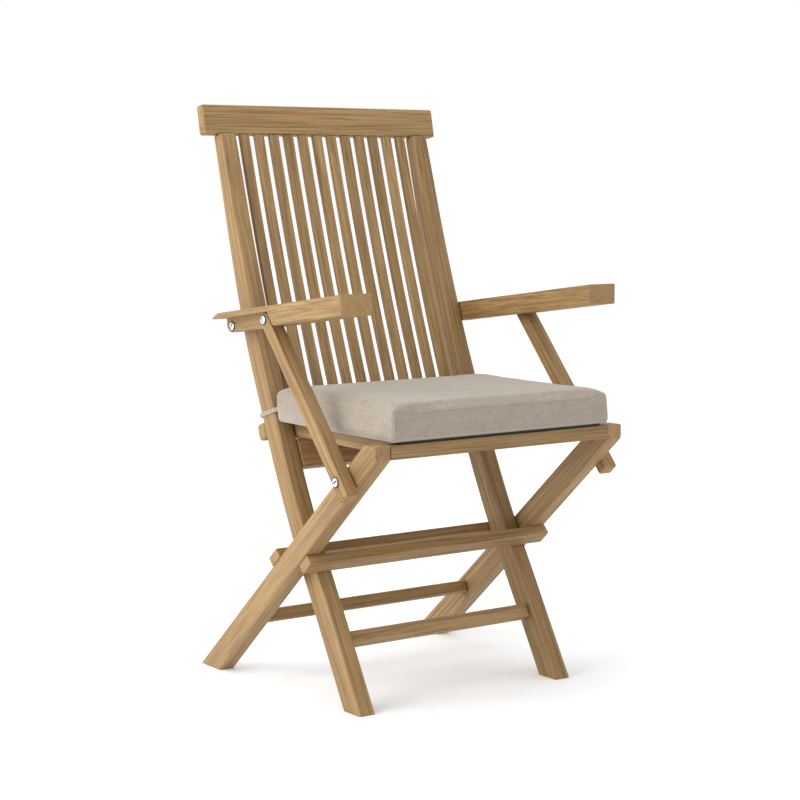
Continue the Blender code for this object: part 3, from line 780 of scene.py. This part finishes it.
@dataclass
class BoltHeads:
    """Slotted bolts: a dark ring of painted shade under the head, a domed head with a sawn slot,
    and a shank.
    """

    frame: dict[str, Any]
    ring_radius: float = 0.0089
    ring_thick: float = 0.0007
    head_radius: float = 0.0070
    head_rim: float = 0.0012
    dome: float = 0.0012
    stand: float = 0.0026
    slot_wide: float = 0.0026
    slot_deep: float = 0.0015
    shank_radius: float = 0.0040
    dome_steps: int = 6
    slot_turn: dict[str, float] = field(
        default_factory=lambda: {"arm_rear": 38.0, "arm_front": -28.0, "support_foot": 62.0}
    )

    def seat_ring(self, name: str, turn: float) -> bpy.types.Object:
        """The dark ring of painted shade under the head and a dark strip of painted shade in its
        slot, at the origin and facing +Z.
        """
        deselect_all()
        bpy.ops.mesh.primitive_cylinder_add(
            vertices=48, radius=self.ring_radius, depth=self.ring_thick,
            location=(0.0, 0.0, self.ring_thick / 2),
        )
        ring = added(f"{name}_seat")
        edit(ring)
        pick_faces(ring, Vector((0.0, 0.0, 1.0)))
        bpy.ops.mesh.inset(thickness=0.0010, depth=-0.0003)
        leave_edit()
        deselect_all()
        floor = self.ring_thick * 0.5 + self.head_rim + self.dome - self.slot_deep
        # A thin dark strip on the slot's floor: painted shade in the slot.
        bpy.ops.mesh.primitive_cube_add(
            size=1.0, location=(0.0, 0.0, floor + 0.0002),
            rotation=(0.0, 0.0, math.radians(turn)),
            scale=(1.8 * self.head_radius, self.slot_wide - 0.0002, 0.0005),
        )
        slot_shade = added("slot_dirt")
        round_off = slot_shade.modifiers.new("round", "BEVEL")
        round_off.width = 0.0002
        apply_modifiers(slot_shade)
        activate(ring)
        slot_shade.select_set(True)
        bpy.ops.object.join()
        smooth(ring, 30.0)
        return ring

    def head(self, name: str, turn: float) -> bpy.types.Object:
        """A domed head with its slot, at the origin and facing +Z."""
        deselect_all()
        base = self.ring_thick * 0.5
        bpy.ops.mesh.primitive_cylinder_add(
            vertices=48, radius=self.head_radius, depth=self.head_rim,
            location=(0.0, 0.0, base + self.head_rim / 2),
        )
        head = added(f"{name}_head")
        edit(head)
        radius, height = self.head_radius, 0.0
        for i in range(1, self.dome_steps):
            angle = i / self.dome_steps * math.pi / 2
            below = (radius, height)
            radius, height = self.head_radius * math.cos(angle), self.dome * math.sin(angle)
            pick_faces(head, Vector((0.0, 0.0, 1.0)))
            bpy.ops.mesh.inset(thickness=below[0] - radius, depth=height - below[1])
        pick_faces(head, Vector((0.0, 0.0, -1.0)))
        bpy.ops.mesh.inset(thickness=self.head_radius - self.shank_radius, depth=0.0)
        bpy.ops.mesh.extrude_region_move(TRANSFORM_OT_translate={"value": (0.0, 0.0, -0.016)})
        leave_edit()
        self.cut_slot(head, base + self.head_rim + self.dome, turn)
        edge = head.modifiers.new("edge", "BEVEL")
        edge.width = 0.00018
        edge.segments = 2
        edge.limit_method = "ANGLE"
        edge.angle_limit = math.radians(40.0)
        apply_modifiers(head)
        smooth(head, 35.0)
        return head

    def cut_slot(self, head: bpy.types.Object, top: float, turn: float) -> None:
        """Saws the slot across the head.

        Args:
            head: The head at the origin.
            top: Its highest point.
            turn: The slot's direction in degrees.
        """
        deselect_all()
        bpy.ops.mesh.primitive_cube_add(
            size=1.0, location=(0.0, 0.0, top - self.slot_deep + 0.0025),
            rotation=(0.0, 0.0, math.radians(turn)), scale=(0.03, self.slot_wide, 0.0050),
        )
        saw = added("slot_saw")
        cut = head.modifiers.new("slot", "BOOLEAN")
        cut.operation = "DIFFERENCE"
        cut.solver = "EXACT"
        cut.object = saw
        apply_modifiers(head)
        bpy.data.objects.remove(saw, do_unlink=True)

    def bolt(self, kind: str, side: Side) -> list[bpy.types.Object]:
        """Builds one bolt on the face that its CAD node stands on.

        Args:
            kind: arm_rear, arm_front or support_foot.
            side: Which side it is on.

        Returns:
            The head and its ring of painted shade.
        """
        node = f"{kind}_bolt_{side.word}"
        low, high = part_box(node)
        outer = high.x if side is Side.RIGHT else low.x
        axis = (low + high) / 2
        face = abs(outer) - self.stand
        axis.x = side.value * face
        turn = self.slot_turn[kind] * side.value
        ring, head = self.seat_ring(node, turn), self.head(node, turn)
        for piece in (ring, head):
            place(piece, side_matrix(axis, side))
            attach(piece, self.frame["nodes"][node]["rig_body"])
        # The ring's near-black colour is painted shade round the head.
        dress(ring, BOLT_SHADE_PAINT.make(node))
        dress(head, Steel().make(node, axis))
        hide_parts(node)
        return [head, ring]

    def build(self) -> list[bpy.types.Object]:
        """Builds the six bolts and dresses the hidden pins.

        Returns:
            The pieces.
        """
        made: list[bpy.types.Object] = []
        for kind in self.slot_turn:
            for side in Side:
                made += self.bolt(kind, side)
        for name, node in self.frame["nodes"].items():
            if "_pin_" in name:
                low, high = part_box(name)
                dress(node, Steel(shine=0.3).make(name, (low + high) / 2))
        return made


@dataclass
class Cushion:
    """The box cushion: crowned body, sewn edges and an underlay painted near black as the shadow
    gap beneath it.
    """

    frame: dict[str, Any]
    node: str = "seat_cushion"
    underlay_thick: float = 0.0028
    shrink: float = 0.0040
    edge_round: float = 0.0065
    voxel: float = 0.0046
    pressure: float = 3.0
    frames: int = 20
    most_swell: float = 0.0085
    rest_band: float = 0.0030
    crown: float = 0.0045
    most_crown: float = 0.0080
    rim_lift: float = 0.0015
    seam_radius: float = 0.0006
    spread: float = 0.0065
    rear_reach: float = 0.0105

    def __post_init__(self) -> None:
        """Reads the CAD cushion's box."""
        self.low, self.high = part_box(self.node)
        self.low = self.low + Vector((0.0, 0.0, self.underlay_thick))
        self.middle = (self.low + self.high) / 2

    def block(self) -> bpy.types.Object:
        """The foam block that the cover is blown up from."""
        deselect_all()
        size = self.high - self.low - Vector((2, 2, 1)) * self.shrink
        centre = self.middle - Vector((0.0, 0.0, self.shrink / 2))
        bpy.ops.mesh.primitive_cube_add(size=1.0, location=centre, scale=size)
        body = added("cushion_body")
        bpy.ops.object.transform_apply(location=True, rotation=True, scale=True)
        edit(body, "EDGE")
        work = bmesh.from_edit_mesh(body.data)
        for edge in work.edges:
            edge.select_set(abs(edge.verts[0].co.z - edge.verts[1].co.z) > 0.01)
        bmesh.update_edit_mesh(body.data)
        bpy.ops.mesh.bevel(offset=self.edge_round * 1.1, segments=4, affect="EDGES")
        leave_edit()
        soften = body.modifiers.new("soften", "BEVEL")
        soften.width = self.edge_round
        soften.segments = 4
        soften.limit_method = "ANGLE"
        soften.angle_limit = math.radians(50.0)
        apply_modifiers(body)
        activate(body)
        body.data.remesh_voxel_size = self.voxel
        bpy.ops.object.voxel_remesh()
        return body

    def swell(self, body: bpy.types.Object) -> None:
        """Blows the cover up with a cloth simulation and keeps its base flat.

        Args:
            body: The remeshed block.
        """
        before = vertices_of(body)
        group = body.vertex_groups.new(name="held")
        base = before[:, 2] < before[:, 2].min() + self.rest_band
        for index in np.nonzero(base)[0]:
            group.add([int(index)], 1.0, "REPLACE")
        cloth = body.modifiers.new("swell", "CLOTH")
        cloth.settings.quality = 6
        cloth.settings.mass = 0.3
        cloth.settings.tension_stiffness = 12.0
        cloth.settings.compression_stiffness = 12.0
        cloth.settings.bending_stiffness = 1.2
        cloth.settings.use_pressure = True
        cloth.settings.uniform_pressure_force = self.pressure
        cloth.settings.vertex_group_mass = "held"
        cloth.settings.effector_weights.gravity = 0.0
        cloth.collision_settings.use_collision = False
        cloth.point_cache.frame_start = 1
        cloth.point_cache.frame_end = self.frames
        scene = bpy.context.scene
        for frame in range(1, self.frames + 1):
            scene.frame_set(frame)
        apply_modifiers(body)
        scene.frame_set(1)
        moved = vertices_of(body) - before
        length = np.linalg.norm(moved, axis=1, keepdims=True)
        moved *= np.minimum(1.0, self.most_swell / np.maximum(length, 1e-9))
        self.write(body, before + moved)

    @staticmethod
    def write(body: bpy.types.Object, points: np.ndarray) -> None:
        """Puts vertex places back into a mesh."""
        body.data.vertices.foreach_set("co", points.astype(np.float32).ravel())
        body.data.update()

    def shape(self, body: bpy.types.Object) -> None:
        """Crowns the top and draws the panels in along the sewn edges.

        Args:
            body: The swollen cover.
        """
        points = vertices_of(body)
        low, high = points.min(0), points.max(0)
        half = (high - low) / 2
        unit = (points - (low + high) / 2) / half
        dome = (1 - unit[:, 0] ** 2).clip(0) * (1 - unit[:, 1] ** 2).clip(0)
        lift = np.clip(unit[:, 2], 0, 1)
        points[:, 2] += self.crown * np.sqrt(dome) * lift
        low, high = points.min(0), points.max(0)
        extra = np.array([self.spread, 0.0, 0.0])
        room = np.array(self.high) - np.array(self.low) + 2 * extra
        out = np.abs(unit[:, :2]).max(1)
        rim = points[(out > 0.88) & (out < 0.95) & (unit[:, 2] > 0.5), 2].mean()
        high[2] = rim - self.rim_lift * (rim - low[2]) / room[2]
        points = np.array(self.low) - extra + (points - low) / (high - low) * room
        share = (points - np.array(self.low)) / (np.array(self.high) - np.array(self.low))
        points[:, 1] += self.rear_reach * share[:, 1] * share[:, 2].clip(0, 1)
        over = (points[:, 2] - self.high.z - self.rim_lift).clip(0)
        points[:, 2] -= over - self.most_crown * np.tanh(over / self.most_crown)
        self.write(body, points)

    def panels(self, body: bpy.types.Object) -> None:
        """Writes a flat UV map for each panel of the cover, in metres."""
        mesh = body.data
        layer = mesh.uv_layers.new(name="weave")
        flat = np.zeros(len(mesh.loops) * 2, np.float32)
        places = vertices_of(body)
        pairs = {0: (1, 2), 1: (0, 2), 2: (0, 1)}
        for face in mesh.polygons:
            axis = int(np.argmax(np.abs(np.array(face.normal) * (1.0, 1.0, 1.25))))
            first, second = pairs[axis]
            for loop in face.loop_indices:
                at = places[mesh.loops[loop].vertex_index]
                flat[2 * loop] = at[first]
                flat[2 * loop + 1] = at[second]
        layer.data.foreach_set("uv", flat)

    def skin(self, body: bpy.types.Object) -> BVHTree:
        """A search tree of the cover's surface."""
        mesh = body.data
        faces = [tuple(face.vertices) for face in mesh.polygons]
        return BVHTree.FromPolygons([v.co.copy() for v in mesh.vertices], faces)

    def seam(
        self, name: str, line: Iterable[Vector], skin: BVHTree, closed: bool
    ) -> bpy.types.Object:
        """Sews a seam: a fine welt that follows the cover's surface.

        Args:
            name: The seam's name.
            line: Points near the surface.
            skin: The cover's surface.
            closed: Whether the seam comes back to its start.

        Returns:
            The seam as a mesh.
        """
        drawn = bpy.data.curves.new(name, "CURVE")
        drawn.dimensions = "3D"
        drawn.bevel_depth = self.seam_radius
        drawn.bevel_resolution = 1
        spline = drawn.splines.new("POLY")
        found = []
        for point in line:
            place_on, normal, _, _ = skin.find_nearest(point)
            found.append(place_on + normal * (self.seam_radius * 0.15))
        spline.points.add(len(found) - 1)
        for target, point in zip(spline.points, found):
            target.co = (*point, 1.0)
        spline.use_cyclic_u = closed
        holder = bpy.data.objects.new(name, drawn)
        bpy.context.scene.collection.objects.link(holder)
        activate(holder)
        bpy.ops.object.convert(target="MESH")
        seam = bpy.context.object
        smooth(seam, 80.0)
        return seam

    def rim(self, z: float, count: int = 220) -> list[Vector]:
        """Points round the cushion at one height, outside its rounded corners."""
        half_x = (self.high.x - self.low.x) / 2 + 0.004
        half_y = (self.high.y - self.low.y) / 2 + 0.004
        found = []
        for i in range(count):
            angle = math.tau * i / count
            power = 0.12
            x = math.copysign(abs(math.cos(angle)) ** power, math.cos(angle))
            y = math.copysign(abs(math.sin(angle)) ** power, math.sin(angle))
            found.append(Vector((self.middle.x + x * half_x, self.middle.y + y * half_y, z)))
        return found

    def seams(self, body: bpy.types.Object) -> list[bpy.types.Object]:
        """The seam round the top panel and the four upright corner seams."""
        skin = self.skin(body)
        points = vertices_of(body)
        top = self.high.z - 0.0045
        made = [self.seam("cushion_top_seam", self.rim(self.high.z + 0.003), skin, True)]
        made.append(self.seam("cushion_base_seam", self.rim(self.low.z + 0.003), skin, True))
        reach_x = (self.high.x - self.low.x) / 2
        reach_y = (self.high.y - self.low.y) / 2
        for i, (sx, sy) in enumerate(((-1, -1), (1, -1), (1, 1), (-1, 1))):
            corner = Vector((self.middle.x + sx * reach_x, self.middle.y + sy * reach_y, 0.0))
            heights = np.linspace(self.low.z + 0.003, top, 14)
            line = [Vector((corner.x, corner.y, float(z))) for z in heights]
            made.append(self.seam(f"cushion_corner_seam_{i + 1}", line, skin, False))
        LOG.info("cushion spans %s to %s", points.min(0).round(4), points.max(0).round(4))
        return made

    def underlay(self) -> bpy.types.Object:
        """The cloth that the cushion stands on, painted near black as the shadow gap under the
        cushion.
        """
        deselect_all()
        low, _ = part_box(self.node)
        size = Vector(((self.high.x - self.low.x), (self.high.y - self.low.y), 0.0))
        size -= Vector((0.030, 0.012, 0.0))
        size.z = self.underlay_thick + 0.004
        centre = Vector((self.middle.x, self.middle.y, low.z + size.z / 2))
        bpy.ops.mesh.primitive_cube_add(size=1.0, location=centre, scale=size)
        base = added("cushion_underlay")
        bpy.ops.object.transform_apply(location=True, rotation=True, scale=True)
        edge = base.modifiers.new("edge", "BEVEL")
        edge.width = 0.0012
        edge.segments = 2
        apply_modifiers(base)
        smooth(base, 35.0)
        return base

    def build(self) -> list[bpy.types.Object]:
        """Builds the cushion and its seams.

        Returns:
            The pieces.
        """
        body = self.block()
        self.swell(body)
        self.shape(body)
        finer = body.modifiers.new("finer", "SUBSURF")
        finer.levels = 1
        finer.render_levels = 1
        apply_modifiers(body)
        self.panels(body)
        smooth(body, 70.0)
        cloth = Linen().make("cushion")
        dress(body, cloth)
        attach(body, "seat")
        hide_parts(self.node)
        made = [body]
        thread = SEAM_THREAD.make("cushion")
        for seam in self.seams(body):
            dress(seam, thread)
            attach(seam, "seat")
            made.append(seam)
        base = self.underlay()
        # The underlay's near-black colour is painted shadow under the cushion.
        dress(base, SHADOW_UNDERLAY.make("cushion"))
        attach(base, "seat")
        made.append(base)
        return made


@dataclass
class Ties:
    """Flat webbing that holds the cushion to the stiles."""

    frame: dict[str, Any]
    wide: float = 0.0082
    thick: float = 0.0015
    slope: float = math.radians(17.0)
    sewn_in: float = 0.0060
    tab_reach: tuple[float, float, float] = (0.022, 0.016, 0.006)

    def strap(
        self, name: str, path: Sequence[Vector], across: Vector, wide: float
    ) -> bpy.types.Object:
        """Lays webbing along a path.

        Args:
            name: The strap's name.
            path: Points on its middle line.
            across: Unit vector along its width.
            wide: Its width.

        Returns:
            The strap as a mesh.
        """
        deselect_all()
        rows = 4
        bpy.ops.mesh.primitive_grid_add(
            x_subdivisions=len(path) - 1, y_subdivisions=rows, size=1.0, calc_uvs=True
        )
        strap = added(name)
        mesh = strap.data
        mesh.uv_layers[0].name = "weave"
        length = sum((b - a).length for a, b in zip(path, path[1:]))
        for vertex in mesh.vertices:
            step = round((vertex.co.x + 0.5) * (len(path) - 1))
            offset = vertex.co.y * wide
            vertex.co = path[step] + across * offset
        for corner in mesh.uv_layers[0].data:
            corner.uv = (corner.uv[0] * length, corner.uv[1] * wide)
        wall = strap.modifiers.new("wall", "SOLIDIFY")
        wall.thickness = self.thick
        wall.offset = 0.0
        soft = strap.modifiers.new("soft", "BEVEL")
        soft.width = self.thick * 0.35
        soft.segments = 2
        soft.limit_method = "ANGLE"
        soft.angle_limit = math.radians(50.0)
        apply_modifiers(strap)
        smooth(strap, 50.0)
        return strap

    def along(self, node: str) -> tuple[Vector, Vector, np.ndarray]:
        """The strap's own directions and its CAD points measured along them.

        Args:
            node: The strap's CAD node.

        Returns:
            The way up the strap's width, the way back along it, and the points.
        """
        points = vertices_of(self.frame["nodes"][node])
        up = Vector((0.0, math.sin(self.slope), math.cos(self.slope)))
        ahead = Vector((0.0, math.cos(self.slope), -math.sin(self.slope)))
        return up, ahead, points @ np.array([list(ahead), list(up), [1.0, 0.0, 0.0]]).T

    def loop(self, side: Side) -> bpy.types.Object:
        """The strap's turn round the back of one stile.

        Args:
            side: Which stile.

        Returns:
            The strap.
        """
        node = f"cushion_tie_{side.word}"
        up, ahead, local = self.along(node)
        front, back = local[:, 0].min(), local[:, 0].max() - self.thick / 2
        level = (local[:, 1].min() + local[:, 1].max()) / 2
        inner = min(local[:, 2], key=abs) + side.value * self.thick / 2
        outer = max(local[:, 2], key=abs) - side.value * self.thick / 2
        corner = 0.0032
        flat = [(inner, front)]
        flat += self.turn(inner, back, corner, side.value, True)
        flat += self.turn(outer, back, corner, side.value, False)
        flat.append((outer, front))
        path = [ahead * y + up * level + Vector((x, 0.0, 0.0)) for x, y in self.even(flat)]
        return self.finish(self.strap(f"{node}_webbing", path, up, self.wide), node)

    @staticmethod
    def turn(x: float, y: float, radius: float, sign: int, first: bool) -> list:
        """Points on a rounded corner of the loop."""
        found = []
        for step in range(6):
            angle = step / 5 * math.pi / 2
            if first:
                dx = radius * (1 - math.cos(angle)) * sign
                dy = -radius * (1 - math.sin(angle))
            else:
                dx = -radius * (1 - math.sin(angle)) * sign
                dy = -radius * (1 - math.cos(angle))
            found.append((x + dx, y + dy))
        return found

    @staticmethod
    def even(flat: Sequence[tuple[float, float]]) -> np.ndarray:
        """The same line with points about 1.5 mm apart."""
        line = np.array(flat)
        steps = np.linalg.norm(np.diff(line, axis=0), axis=1)
        run = np.concatenate([[0.0], np.cumsum(steps)])
        count = int(run[-1] / 0.0015)
        at = np.linspace(0.0, run[-1], count)
        return np.stack([np.interp(at, run, line[:, 0]), np.interp(at, run, line[:, 1])], 1)

    def finish(self, strap: bpy.types.Object, node: str) -> bpy.types.Object:
        """Dresses a strap and puts it on the back frame."""
        dress(strap, Linen(pitch=0.0007).make(node))
        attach(strap, self.frame["nodes"][node]["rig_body"])
        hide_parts(node)
        return strap

    def tab(self, side: Side) -> bpy.types.Object:
        """The short end of webbing that is sewn into the cushion's rear corner.

        Args:
            side: Which side.

        Returns:
            The tab.
        """
        node = f"cushion_tie_{side.word}"
        up, ahead, points = self.along(node)
        front = points[:, 0].min() - 0.0003
        level = (points[:, 1].min() + points[:, 1].max()) / 2
        outer = max(points[:, 2], key=abs) - side.value * self.thick / 2
        sewn = outer - side.value * self.sewn_in
        start, bend, end = (front - reach for reach in self.tab_reach)
        flat = [(sewn, start), (sewn, bend), (outer, end), (outer, front)]
        path = [ahead * y + up * level + Vector((x, 0.0, 0.0)) for x, y in self.even(flat)]
        tab = self.strap(f"{node}_tab", path, up, self.wide)
        dress(tab, Linen(pitch=0.0007).make(f"{node}_tab"))
        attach(tab, "seat")
        return tab

    def build(self) -> list[bpy.types.Object]:
        """Builds both loops and both tabs.

        Returns:
            The pieces.
        """
        return [self.loop(side) for side in Side] + [self.tab(side) for side in Side]


# ---- studio ----------------------------------------------------------------


@dataclass
class Studio:
    """Pale floor, soft light and the camera."""

    camera_at: Vector = field(default_factory=lambda: Vector((-1.9573, -2.7561, 0.8697)))
    azimuth: float = math.radians(-35.22)
    elevation: float = math.radians(6.44)
    lens: float = 87.85
    floor_size: float = 240.0

    def floor(self) -> None:
        """A wide white floor that glows a little, so that it fades into the backdrop; its glow is
        greyer near the chair, painted shade round it.
        """
        deselect_all()
        bpy.ops.mesh.primitive_plane_add(size=self.floor_size, location=(0.0, 0.0, -0.0004))
        floor = added("studio_floor")
        shader = Shader("studio_floor")
        place_on = shader.coordinates()
        dust = shader.noise(place_on, 3.0, 2.0)
        x, y, _ = shader.split(place_on)
        # The glow fades to grey within 2.6 m of the chair: painted shade round the chair.
        chair_shade_fade = (x * x + y * y).root().step(0.5, 2.6)
        material = shader.finish(
            base_color=shader.mix(dust, (0.80, 0.80, 0.80), (0.81, 0.81, 0.81)),
            roughness=1.0, specular_ior_level=0.0,
            emission_color=shader.mix(chair_shade_fade, (0.60, 0.61, 0.63), (1.0, 1.0, 1.0)),
            emission_strength=0.26,
        )
        dress(floor, material)

    def backdrop(self) -> None:
        """An even white surround."""
        world = bpy.data.worlds.new("studio")
        world.use_nodes = True
        world.node_tree.nodes["Background"].inputs["Color"].default_value = (1, 1, 1, 1)
        world.node_tree.nodes["Background"].inputs["Strength"].default_value = 1.0
        bpy.context.scene.world = world
        bpy.context.scene.view_settings.view_transform = "Standard"

    @staticmethod
    def hang(name: str, data: Any, at: Vector, gaze: Vector) -> bpy.types.Object:
        """Hangs a light or the camera at a point, looking along gaze."""
        holder = bpy.data.objects.new(name, data)
        holder.location = at
        holder.rotation_euler = gaze.to_track_quat("-Z", "Y").to_euler()
        bpy.context.scene.collection.objects.link(holder)
        return holder

    def softbox(self, name: str, at: Vector, aim: Vector, size: float, power: float) -> None:
        """Hangs one square area light.

        Args:
            name: The light's name.
            at: Where it hangs.
            aim: What it points at.
            size: Its side length.
            power: Its power in watts.
        """
        light = bpy.data.lights.new(name, "AREA")
        light.shape = "SQUARE"
        light.size = size
        light.energy = power
        self.hang(name, light, at, aim - at)

    def camera(self) -> None:
        """The camera at the viewing angle."""
        data = bpy.data.cameras.new("view")
        data.lens = self.lens
        data.sensor_width = 36.0
        data.clip_end = 500.0
        flat = math.cos(self.elevation)
        back = Vector(
            (math.sin(self.azimuth) * flat, -math.cos(self.azimuth) * flat,
             math.sin(self.elevation))
        )
        bpy.context.scene.camera = self.hang("view", data, self.camera_at, -back)

    def build(self) -> None:
        """Builds the studio."""
        self.floor()
        self.backdrop()
        middle = Vector((0.0, 0.0, 0.5))
        self.softbox("key", Vector((-3.0, 0.4, 1.7)), middle, 2.2, 77.0)
        self.softbox("top", Vector((-0.3, 0.3, 3.2)), middle, 2.4, 27.0)
        self.camera()


def main() -> None:
    """Loads the frame and builds every sub-assembly around it."""
    logging.basicConfig(level=logging.INFO, format="%(message)s")
    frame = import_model()
    Studio().build()
    for assembly in (Joinery(frame), BoltHeads(frame), Ties(frame), Cushion(frame)):
        for piece in assembly.build():
            LOG.info("%s: %s has %d faces", type(assembly).__name__, piece.name,
                     len(piece.data.polygons))


if __name__ == "__main__":
    main()
